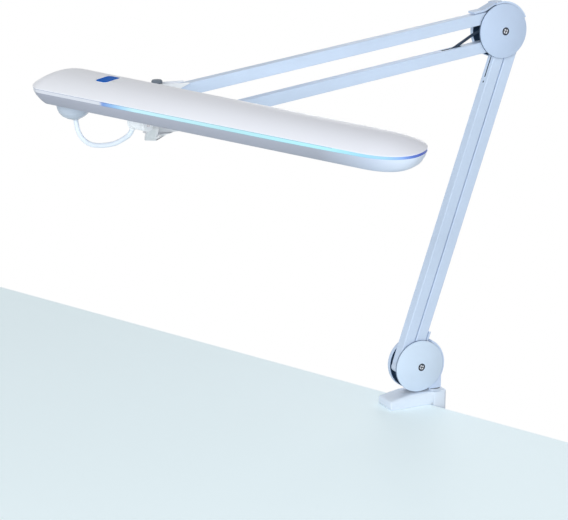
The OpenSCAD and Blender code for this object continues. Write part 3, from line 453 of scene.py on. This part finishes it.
NODE_LOOKS = [
    (coat("powder_coat_pale", PALE), ["base_strap", "elbow_strap"]),
    (coat("clamp_coat", (225, 238, 254)), ["clamp_frame"]),
    # Painted shade: the plates between caps and drums are coloured dark, darker at the elbow than at the base
    (coat("base_plate_painted_shade", (128, 146, 172), 0.45), ["base_plate"]),
    (coat("elbow_plate_painted_shade", (84, 100, 122), 0.45), ["elbow_plate"]),
    (coat("base_cap_coat", (212, 230, 250), 0.36), ["base_cap"]),
    (coat("elbow_cap_coat", (196, 214, 240), 0.36), ["elbow_cap"]),
    (housing_coat("drum_base_coat", BASE_CENTRE), ["base_drum"]),
    (housing_coat("drum_elbow_coat", ELBOW_CENTRE), ["elbow_drum"]),
    (screw_look("base_screw_steel", BASE_CENTRE), ["base_screw"]),
    (screw_look("elbow_screw_steel", ELBOW_CENTRE), ["elbow_screw"]),
    (tube_coat("left_bar_coat", LEFT_PIVOT, LOWER_WAY), ["left_bar"]),
    (tube_coat("right_bar_coat", RIGHT_PIVOT, LOWER_WAY), ["right_bar"]),
    (tube_coat("top_bar_coat", TOP_PIVOT, UPPER_WAY), ["top_bar"]),
    (tube_coat("bottom_bar_coat", BOTTOM_PIVOT, UPPER_WAY), ["bottom_bar"]),
    (coat("moulded_plug_end", (206, 220, 240), 0.4),
     ["left_bar_plugs", "right_bar_plugs", "top_bar_plugs", "bottom_bar_plugs"]),
    (inner_cord, ["left_bar_cord"]),
    (moulded_white, ["yoke", "hinge_ears", "end_bracket", "plug_body", "strain_relief"]),
    (coat("cap_nut", (118, 128, 140), 0.4), ["barrel_cap"]),
    # The knob's grey-blue, darkened overall as painted shade under the head
    (coat("knob_grey_blue_painted_shade", (186, 197, 212), 0.2, gloss=0.4), ["cord_cap"]),
    (coat("dark_plastic", (62, 72, 84), 0.5), ["swivel_bush", "tommy_knobs", "driver_box", "switch_box"]),
    (coat("black_rubber", (34, 35, 38), 0.75, 1800), ["pad_rubber", "coil_tie"]),
    (coat("light_board", (226, 236, 226), 0.5), ["led_board"]),
    (coat("frosted_diffuser", (240, 243, 247), 0.6), ["diffuser"]),
    (turned_steel("steel_turned", (196, 198, 204)),
     ["clamp_pad", "clamp_screw", "tommy_bar", "base_spindle", "head_spindle", "base_pins", "elbow_pins",
      "end_pins", "hinge_pin", "tray_screws", "plug_pins"]),
]


def dress(thing, shader):
    """Gives an object the shader in every slot it has."""
    if not thing.material_slots:
        thing.data.materials.append(shader.material)
    for material_slot in thing.material_slots:
        material_slot.material = shader.material


for look, names in NODE_LOOKS:
    for name in names:
        dress(NODES[name], look)
dress(lead, cord_coat)
dress(head_loop, cord_coat)

# CAD nodes with rounded edges

FLAT_ANGLE = math.radians(1)
EDGE_ANGLE = math.radians(35)
SOFT_ANGLE = math.radians(32)
WELD = 0.001 * MM
JAW_END_X = -27.9 * MM
LONG_EDGE = 9 * MM


def softened(name, body, width, chosen):
    """Stands in for a CAD node with the chosen outer edges rounded, width millimetres wide."""
    mesh = NODES[name].data.copy()
    work = bmesh.new()
    work.from_mesh(mesh)
    bmesh.ops.remove_doubles(work, verts=work.verts, dist=WELD)
    bmesh.ops.dissolve_limit(work, angle_limit=FLAT_ANGLE, verts=work.verts, edges=work.edges)
    edges = [edge for edge in work.edges if len(edge.link_faces) == 2 and edge.is_convex
             and edge.calc_face_angle() > EDGE_ANGLE and chosen(edge)]
    bmesh.ops.bevel(work, geom=edges, offset=width * MM, segments=4, profile=0.5, affect="EDGES",
                    clamp_overlap=False)
    work.to_mesh(mesh)
    work.free()
    mesh.shade_smooth()
    mesh.set_sharp_from_angle(angle=SOFT_ANGLE)
    piece = add(name + "_soft", mesh)
    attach(piece, body)
    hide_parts(name)


def jaw_end(edge):
    return all(v.co.x < JAW_END_X for v in edge.verts)


def long_edge(edge):
    return edge.calc_length() > LONG_EDGE


# Surfaces through rings of points


def surface(name, rings, closed=True):
    """An object with a surface through rings of equal count; closed gives its two ends a face each."""
    mesh = bpy.data.meshes.new(name)
    count = len(rings[0])
    faces = []
    for i in range(len(rings) - 1):
        for k in range(count):
            a, b = i * count + k, i * count + (k + 1) % count
            faces.append((a, b, b + count, a + count))
    if closed:
        faces.append(tuple(reversed(range(count))))
        faces.append(tuple(range((len(rings) - 1) * count, len(rings) * count)))
    mesh.from_pydata([p for ring in rings for p in ring], [], faces)
    work = bmesh.new()
    work.from_mesh(mesh)
    bmesh.ops.remove_doubles(work, verts=work.verts, dist=WELD)
    bmesh.ops.recalc_face_normals(work, faces=work.faces)
    work.to_mesh(mesh)
    work.free()
    mesh.shade_smooth()
    mesh.set_sharp_from_angle(angle=EDGE_ANGLE)
    return add(name, mesh)


def loft(name, rings, body, look, closed=True):
    """A surface through rings, with its look, that moves with a body."""
    piece = surface(name, rings, closed)
    dress(piece, look)
    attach(piece, body)
    return piece


def cut(piece, cutter):
    """Takes the cutter out of the piece, and the cutter away."""
    modifier = piece.modifiers.new("cut", "BOOLEAN")
    modifier.operation = "DIFFERENCE"
    modifier.solver = "EXACT"
    modifier.object = cutter
    bpy.context.view_layer.update()
    graph = bpy.context.evaluated_depsgraph_get()
    mesh = bpy.data.meshes.new_from_object(piece.evaluated_get(graph))
    piece.modifiers.clear()
    piece.data = mesh
    bpy.data.objects.remove(cutter)


def arm_loop():
    """The cord's short stretch at the elbow, which moves with the bottom tube. As the arm folds
    down, it sinks into the bottom tube.
    """
    line = smooth_line([mm(*p) + ELBOW_CENTRE for p in ARM_ROUTE])
    rings = []
    for place, before, after in zip(line, [line[0], *line], [*line[1:], line[-1]]):
        way = (after - before).normalized()
        side = (Y_WAY - way * way.y).normalized()
        up = way.cross(side)
        rings.append([place + (side * math.cos(a) + up * math.sin(a)) * INNER_CORD_D / 2
                      for a in (math.tau * k / CORD_SIDES for k in range(CORD_SIDES))])
    piece = loft("arm_loop", rings, "upper_bottom", inner_cord)
    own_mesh(piece)
    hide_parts("arm_cord")


arm_loop()

# The head, in millimetres of its own axes: s along it, n across it and z above the top of its rim

HEAD_L = 512.0
HEAD_W = 68.6
HEAD_TAPER = 0.25
# Each end is half a superellipse, of its own length
END_LEFT = 29.0
END_RIGHT = 54.0
END_POWER = 2.3
END_STEPS = 24
SIDE_STEPS = 40
CROWN_H = 10.0
CROWN_POWER = 2.2
COVER_EDGE = 0.6
COVER_WALL = 2.0
COVER_GAP = 0.02
COVER_STEPS = 30
COVER_SIDE_STEPS = 120
RIDGE_SHARE = 0.025
RIM_H = 4.7
TRAY_DEPTH = 18.8
HINGE_S = -115.0
HINGE_DROP = 13.0
WINDOW_LEFT = -70.0
WINDOW_RIGHT = 200.0
WINDOW_W = 34.0
HEAD_ANGLES = (9.3, 2.5, -65.9)

yaw, pitch, roll = (Matrix.Rotation(math.radians(angle), 3, axis)
                    for angle, axis in zip(reversed(HEAD_ANGLES), "ZYX"))
HEAD_AXES = yaw @ pitch @ roll
HEAD_AT = pivot("head_tilt") - HEAD_AXES @ mm(HINGE_S, 0, -TRAY_DEPTH - HINGE_DROP)
SPINE_LEFT = -HEAD_L / 2 + END_LEFT
SPINE_RIGHT = HEAD_L / 2 - END_RIGHT


def in_head(s, n, z):
    """World place of a point of the head."""
    return HEAD_AT + HEAD_AXES @ mm(s, n, z)


def half_width(s):
    return HEAD_W / 2 * (1 - HEAD_TAPER * s / HEAD_L)


def end_arc(side, ds, dn):
    """One rounded end, from the far side through the tip to the near side; side is -1 left, 1 right."""
    reach, spine = (END_LEFT, SPINE_LEFT) if side < 0 else (END_RIGHT, SPINE_RIGHT)
    arc = []
    for i in range(2 * END_STEPS + 1):
        a = math.pi / 2 * (1 - i / END_STEPS)
        s = spine + side * (reach - ds) * max(math.cos(a), 0) ** (2 / END_POWER)
        width = (half_width(s) - dn) * abs(math.sin(a)) ** (2 / END_POWER)
        arc.append((s, math.copysign(width, a) if i != END_STEPS else 0.0))
    return arc


def head_outline(ds, dn, side_steps=SIDE_STEPS):
    """The head's outline, drawn in by ds at the ends and dn at the sides."""
    right = end_arc(1, ds, dn)
    left = end_arc(-1, ds, dn)
    near = [(s, -(half_width(s) - dn)) for s in
            (SPINE_RIGHT + (SPINE_LEFT - SPINE_RIGHT) * i / side_steps for i in range(1, side_steps))]
    far = [(s, half_width(s) - dn) for s, _ in reversed(near)]
    return right + near + left[::-1] + far


def along_head(shader):
    """0 at the head's left end and 1 at its right end."""
    return shader.along(HEAD_AXES @ X_WAY, HEAD_AT, -HEAD_L / 2, HEAD_L / 2)


def head_coat(name, stops, rough, gloss=0.22):
    """Moulded plastic whose tone changes along the head, as painted light and shade."""
    shader = Shader(name)
    shader.colour(shader.ramp(along_head(shader), tones(stops)))
    shader.skin(rough, gloss=gloss)
    return shader


# The cover, with the button's opening

# The cover's white, darker towards the right end as painted shade
COVER_TONES_WITH_SHADE = [(0.0, (238, 241, 248)), (0.5, (236, 239, 247)), (1.0, (226, 229, 238))]
BUTTON_AT = (-162.0, 4.0)
BUTTON_L = 17.8
BUTTON_W = 23.0
BUTTON_CORNER = 4.2
BUTTON_GAP = 0.6
# Heights between which the opening is cut
OPENING_SPAN = (-2, 20)
CORNER_STEPS = 8


def crown(share):
    """Height of the cover's skin at a share of the way from its ridge to its edge."""
    return COVER_EDGE + (CROWN_H - COVER_EDGE) * (1 - share ** CROWN_POWER)


def cover_rings(inset):
    """Rings of a skin of the cover, from its edge to its ridge, inset millimetres inside the outer skin."""
    shares = [math.cos(math.pi / 2 * i / COVER_STEPS) for i in range(COVER_STEPS)] + [RIDGE_SHARE]
    rings = []
    for share in shares:
        ring = []
        for s, n in head_outline(inset, inset, COVER_SIDE_STEPS):
            spine = min(max(s, SPINE_LEFT), SPINE_RIGHT)
            ring.append(in_head(spine + (s - spine) * share, n * share, crown(share) - inset))
        rings.append(ring)
    return rings


def button_outline(out):
    """The button's rounded outline, out millimetres outside its edge."""
    radius = BUTTON_CORNER + out
    outline = []
    for k, (side, way) in enumerate(((1, 1), (-1, 1), (-1, -1), (1, -1))):
        corner_s = BUTTON_AT[0] + side * (BUTTON_L / 2 - BUTTON_CORNER)
        corner_n = BUTTON_AT[1] + way * (BUTTON_W / 2 - BUTTON_CORNER)
        for i in range(CORNER_STEPS + 1):
            a = math.pi / 2 * (k + i / CORNER_STEPS)
            outline.append((corner_s + radius * math.cos(a), corner_n + radius * math.sin(a)))
    return outline


def head_cover():
    edge, inner_edge = ([in_head(s, n, COVER_GAP) for s, n in head_outline(inset, inset, COVER_SIDE_STEPS)]
                        for inset in (0, COVER_WALL))
    # The inner skin's two outermost rings, right under its edge, are left out
    rings = [*reversed(cover_rings(0)), edge, inner_edge, *cover_rings(COVER_WALL)[2:]]
    look = head_coat("cover_white_painted_shade", COVER_TONES_WITH_SHADE, 0.36, gloss=0.1)
    piece = loft("cover_shell", rings, "head", look)
    opening = button_outline(BUTTON_GAP)
    cut(piece, surface("opening", [[in_head(s, n, z) for s, n in opening] for z in OPENING_SPAN]))
    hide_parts("head_cover")


head_cover()

# The tray, with the diffuser's window. A profile's points are (height, inset at the ends, inset at the sides)

# The tray's grey, lighter at its right end as painted light from the rim's glow
TRAY_TONES_WITH_GLOW = [(0.0, (163, 167, 181)), (0.25, (169, 173, 188)), (0.8, (162, 167, 181)),
              (0.92, (188, 199, 218)), (1.0, (214, 225, 242))]
TRAY_INSIDE = [(-TRAY_DEPTH + 2, 16.5, 9.2), (-15.8, 13.4, 8.3), (-13.5, 9.6, 6.6), (-8.5, 5.0, 4.0),
               (-RIM_H, 3, 3)]
TRAY_OUTSIDE = [(-RIM_H, 0.6, 0.6), (-RIM_H - 0.5, 0.7, 0.65), (-8.5, 2.4, 1.6), (-13.0, 6.2, 4.1),
                (-14.6, 7.8, 5.0), (-17.0, 11.6, 6.6), (-18.0, 13.6, 7.4), (-18.6, 14.8, 8.0),
                (-TRAY_DEPTH, 15.9, 8.8)]
# Heights between which the window is cut
WINDOW_SPAN = (-24, -12)
# The rim gets thinner from here to the right tip
THINNING_FROM = 110.0
THINNING = 1.8
THINNING_POWER = 1.1
# The tray's wall follows the rim's lower edge above FOLLOWS_FULLY, and not at all below FOLLOWS_NOT
FOLLOWS_FULLY = -5.0
FOLLOWS_NOT = -13.0


def rim_rise(s):
    """How far the rim's lower edge rises towards the right tip."""
    return THINNING * max((s - THINNING_FROM) / (HEAD_L / 2 - THINNING_FROM), 0) ** THINNING_POWER


def head_tray():
    rings = []
    for z, ds, dn in TRAY_INSIDE + TRAY_OUTSIDE:
        follow = clamped((z - FOLLOWS_NOT) / (FOLLOWS_FULLY - FOLLOWS_NOT))
        rings.append([in_head(s, n, z + rim_rise(s) * follow) for s, n in head_outline(ds, dn)])
    # Painted light: the tray's wall is lighter below the rim's lit right end
    piece = loft("tray_shell", rings, "head", head_coat("tray_grey_painted_glow", TRAY_TONES_WITH_GLOW, 0.4))
    corners = [(WINDOW_LEFT, -WINDOW_W / 2), (WINDOW_RIGHT, -WINDOW_W / 2),
               (WINDOW_RIGHT, WINDOW_W / 2), (WINDOW_LEFT, WINDOW_W / 2)]
    cut(piece, surface("window", [[in_head(s, n, z) for s, n in corners] for z in WINDOW_SPAN]))
    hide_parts("head_tray")


head_tray()

# The rim. Its profile's points are (height, inset)

RIM_PROFILE = [(-0.05, 0.4), (-0.3, 0.05), (-0.8, 0.0), (-RIM_H + 0.9, 0.0), (-RIM_H + 0.3, 0.1),
               (-RIM_H + 0.02, 0.5)]
RIM_WIDTH = 7.0
RIM_TONES = [(0.0, (208, 211, 221)), (0.236, (206, 210, 220)), (0.244, (112, 146, 212)),
             (0.285, (150, 192, 230)), (0.33, (188, 226, 236)), (0.60, (170, 216, 224)),
             (0.83, (166, 222, 234)), (0.90, (150, 204, 228)), (0.955, (148, 194, 234)),
             (0.98, (128, 164, 222)), (1.0, (62, 90, 186))]
RIM_LINE = (104, 122, 158)
# Shares of the rim's height below and above which it is drawn
RIM_LINE_LOW = 0.13
RIM_LINE_HIGH = 0.86
RIM_LINE_STRENGTH = 0.45
RIM_LINE_END = 0.84
RIM_GLOW = 0.07


def rim_look():
    """The clear rim: dull at its left end, then blue, then glowing cyan, and deep blue at the right tip."""
    shader = Shader("rim_edge_lit")
    along = along_head(shader)
    tone = shader.ramp(along, tones(RIM_TONES))
    # A thin darker line runs along the rim's upper and lower edges, where it is thick enough
    height = shader.along(HEAD_AXES @ Z_WAY, HEAD_AT, -RIM_H, 0.0)
    low_edge = shader.math("LESS_THAN", height, RIM_LINE_LOW)
    high_edge = shader.math("GREATER_THAN", height, RIM_LINE_HIGH)
    edges = shader.math("ADD", low_edge, high_edge)
    strength = shader.math("MULTIPLY", shader.math("LESS_THAN", along, RIM_LINE_END), RIM_LINE_STRENGTH)
    tone = shader.mix(shader.math("MULTIPLY", edges, strength), tone, linear(*RIM_LINE))
    shader.colour(tone)
    shader.link(tone, shader.bsdf.inputs["Emission Color"])
    shader.set(Emission_Strength=RIM_GLOW, Roughness=0.2, Coat_Weight=0.2)
    return shader


def rim_band():
    outer = [[in_head(s, n, z + rim_rise(s) * (z < -RIM_H / 2)) for s, n in head_outline(inset, inset)]
             for z, inset in RIM_PROFILE]
    inner = head_outline(RIM_WIDTH, RIM_WIDTH)
    inner_low = [in_head(s, n, RIM_PROFILE[-1][0] + rim_rise(s)) for s, n in inner]
    inner_top = [in_head(s, n, RIM_PROFILE[0][0]) for s, n in inner]
    piece = loft("rim_band", [inner_top, *outer, inner_low, inner_top], "head", rim_look(), closed=False)
    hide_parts("rim_light")


rim_band()

# The button and its ring. Points are (lift over the cover, millimetres outside the button's edge)

BUTTON_SIDE = [(-5.5, 0), (-0.3, 0), (0.0, -0.12), (0.2, -0.5), (0.25, -1.1)]
# The hollow's rings are (lift, share of the way from the button's middle), of an outline this far inside
HOLLOW_INSET = -1.3
BUTTON_HOLLOW = [(0.16, 0.8), (0.02, 0.6), (-0.08, 0.4), (-0.13, 0.2), (-0.14, 0.05)]
RING_SECTION = [(-1.2, 0.45), (0.1, 0.45), (0.2, 0.6), (0.2, 1.1), (0.08, 1.35), (-0.1, 1.35), (-1.2, 0.9)]


def on_cover(s, n, lift):
    return in_head(s, n, crown(abs(n) / half_width(s)) + lift)


def button_cap():
    """The button: its top follows the cover, with a rounded edge and a slight hollow for the finger."""
    middle_s, middle_n = BUTTON_AT
    rings = [[on_cover(s, n, lift) for s, n in button_outline(out)] for lift, out in BUTTON_SIDE]
    for lift, share in BUTTON_HOLLOW:
        rings.append([on_cover(middle_s + (s - middle_s) * share, middle_n + (n - middle_n) * share, lift)
                      for s, n in button_outline(HOLLOW_INSET)])
    piece = loft("button_cap", rings, "button", button_look)
    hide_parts("button")


def button_ring():
    """A thin white edge round the button's opening."""
    rings = [[on_cover(s, n, lift) for s, n in button_outline(out)] for lift, out in RING_SECTION]
    piece = loft("button_ring", [*rings, rings[0]], "head", moulded_white, closed=False)


button_cap()
button_ring()
softened("clamp_frame", "clamp", 2.4, jaw_end)
softened("yoke", "yoke", 1.2, long_edge)
softened("hinge_ears", "head", 0.7, long_edge)

# Floor, backdrop and light

FLOOR_EDGE_AT = mm(29.3, -19.6, 0)
FLOOR_EDGE = Vector((0.399, -0.917, 0)).normalized()
FLOOR_REACH = 6
FLOOR_TOP = -0.2 * MM
FLOOR_UNDERSIDE = -7.6 * MM
FLOOR_GLOW = 0.19
WORLD_LIGHT = 0.42


def floor():
    """A pale slab in the table top's place; its far edge runs just clear of the clamp's column."""
    across = Vector((FLOOR_EDGE.y, -FLOOR_EDGE.x, 0))
    corners = [FLOOR_EDGE_AT + (FLOOR_EDGE * e + across * d) * FLOOR_REACH
               for e, d in ((-1, 0), (1, 0), (1, 1), (-1, 1))]
    mesh = bpy.data.meshes.new("floor")
    mesh.from_pydata([c + Z_WAY * z for z in (FLOOR_TOP, FLOOR_UNDERSIDE) for c in corners], [],
                     [(0, 1, 2, 3), (7, 6, 5, 4), (0, 4, 5, 1), (1, 5, 6, 2), (2, 6, 7, 3), (3, 7, 4, 0)])
    slab = add("floor", mesh)
    shader = Shader("floor_pale")
    shader.colour(shader.mottle(linear(240, 250, 252), 0.01, 1.5))
    shader.set(Roughness=0.6, Specular_IOR_Level=0.12, Emission_Color=(0.62, 0.86, 1, 1))
    # The camera sees the slab a little brighter than it lights the lamp
    path = shader.node("ShaderNodeLightPath")
    glow = shader.math("MULTIPLY", path.outputs["Is Camera Ray"], FLOOR_GLOW)
    shader.link(glow, shader.bsdf.inputs["Emission Strength"])
    dress(slab, shader)


def area_light(name, place, target, size, power):
    """A soft light at a place, turned to a target; its size is in metres and its power in watts."""
    data = bpy.data.lights.new(name, "AREA")
    data.shape = "RECTANGLE"
    data.size, data.size_y = size
    data.energy = power
    light = add(name, data)
    light.location = place
    light.rotation_euler = (Vector(target) - Vector(place)).to_track_quat("-Z", "Y").to_euler()
    light.visible_camera = False


def world():
    """A backdrop that looks white to the camera and in reflections, and lights the lamp less."""
    studio = bpy.data.worlds.new("studio")
    bpy.context.scene.world = studio
    studio.use_nodes = True
    nodes = studio.node_tree.nodes
    links = studio.node_tree.links
    path = nodes.new("ShaderNodeLightPath")
    seen = nodes.new("ShaderNodeMath")
    seen.operation = "MAXIMUM"
    links.new(path.outputs["Is Camera Ray"], seen.inputs[0])
    links.new(path.outputs["Is Glossy Ray"], seen.inputs[1])
    strength = nodes.new("ShaderNodeMapRange")
    strength.inputs["To Min"].default_value = WORLD_LIGHT
    strength.inputs["To Max"].default_value = 1.0
    links.new(seen.outputs["Value"], strength.inputs["Value"])
    background = nodes["Background"]
    links.new(strength.outputs["Result"], background.inputs["Strength"])
    background.inputs["Color"].default_value = (1, 1, 1, 1)


floor()
world()
area_light("key", (-1.97, -2.4, 1.15), (-0.1, 0, 0.3), (2.0, 1.6), 66)
area_light("fill", (2.0, 2.3, 0.5), (-0.1, 0, 0.25), (2.0, 1.4), 26)

bpy.context.scene.view_settings.view_transform = "Standard"
